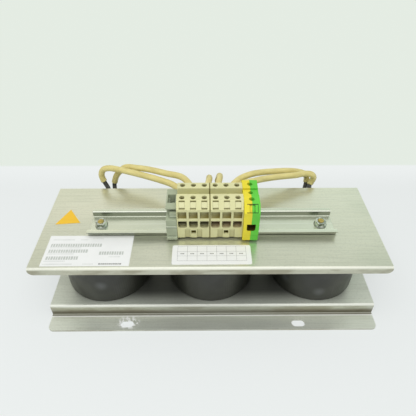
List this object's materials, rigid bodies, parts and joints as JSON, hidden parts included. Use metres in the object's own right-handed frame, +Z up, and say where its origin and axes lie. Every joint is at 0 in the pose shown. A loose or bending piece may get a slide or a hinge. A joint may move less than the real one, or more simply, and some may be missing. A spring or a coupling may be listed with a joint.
{
  "type": "line reactor",
  "caption": "Three-phase line reactor: round potted chokes clamped between folded aluminium plates, with a terminal rail on the top plate and slotted mounting flanges.",
  "frame": {"origin": "centre of the four mounting slots, on the underside of the flanges", "axes": "+X along the rail towards the earth terminal, +Y from the front lip to the leads at the back, +Z up from the mounting surface"},
  "size_m": [0.3305, 0.1493, 0.1227],
  "materials": {
    "aluminium_sheet": "rolled sheet with a fine grain, light scratches and soft stains",
    "cup_plastic": "moulded charcoal plastic, semi gloss",
    "core_iron": "pressed powder ring",
    "winding_copper": "enamelled copper wire",
    "potting_resin": "cast resin",
    "stud_brass": "threaded brass, a little tarnished",
    "nut_zinc": "bright zinc plate",
    "rail_zinc": "passivated zinc plate, rolled along its length",
    "clamp_plastic": "moulded grey plastic",
    "terminal_plastic": "moulded cream plastic",
    "terminal_metal": "plated brass",
    "tag_plastic": "plain marker tag",
    "earth_yellow": "moulded yellow plastic",
    "earth_green": "moulded green plastic",
    "lead_black": "black insulation, matt",
    "sleeve_tan": "smooth tan insulating sleeve",
    "label_white": "printed film",
    "label_yellow": "plain film"
  },
  "bodies": {
    "root": {"base_plate": "aluminium_sheet", "top_plate": "aluminium_sheet", "choke_cup_left": "cup_plastic", "choke_cup_middle": "cup_plastic", "choke_cup_right": "cup_plastic", "choke_core_left": "core_iron", "choke_core_middle": "core_iron", "choke_core_right": "core_iron", "choke_winding_left": "winding_copper", "choke_winding_middle": "winding_copper", "choke_winding_right": "winding_copper", "choke_potting_left": "potting_resin", "choke_potting_middle": "potting_resin", "choke_potting_right": "potting_resin", "clamp_stud_left": "stud_brass", "clamp_stud_middle": "stud_brass", "clamp_stud_right": "stud_brass", "base_nuts": "nut_zinc", "rail_nuts": "nut_zinc", "din_rail": "rail_zinc", "end_clamp": "clamp_plastic", "end_clamp_screw": "nut_zinc", "terminal_block_left": "terminal_plastic", "terminal_block_right": "terminal_plastic", "wire_cages_left": "terminal_metal", "wire_cages_right": "terminal_metal", "clamp_screws_left": "terminal_metal", "clamp_screws_right": "terminal_metal", "current_bars_left": "terminal_metal", "current_bars_right": "terminal_metal", "marker_tags_left": "tag_plastic", "marker_tags_right": "tag_plastic", "earth_shell_yellow": "earth_yellow", "earth_shell_green": "earth_green", "earth_clamp_body": "terminal_metal", "earth_screws": "terminal_metal", "lead_1": "lead_black", "lead_2": "lead_black", "lead_3": "lead_black", "lead_4": "lead_black", "lead_5": "lead_black", "lead_6": "lead_black", "lead_sleeve_1": "sleeve_tan", "lead_sleeve_2": "sleeve_tan", "lead_sleeve_3": "sleeve_tan", "lead_sleeve_4": "sleeve_tan", "lead_sleeve_5": "sleeve_tan", "lead_sleeve_6": "sleeve_tan", "rating_label": "label_white", "terminal_label": "label_white", "triangle_label": "label_yellow"}
  },
  "joints": []
}
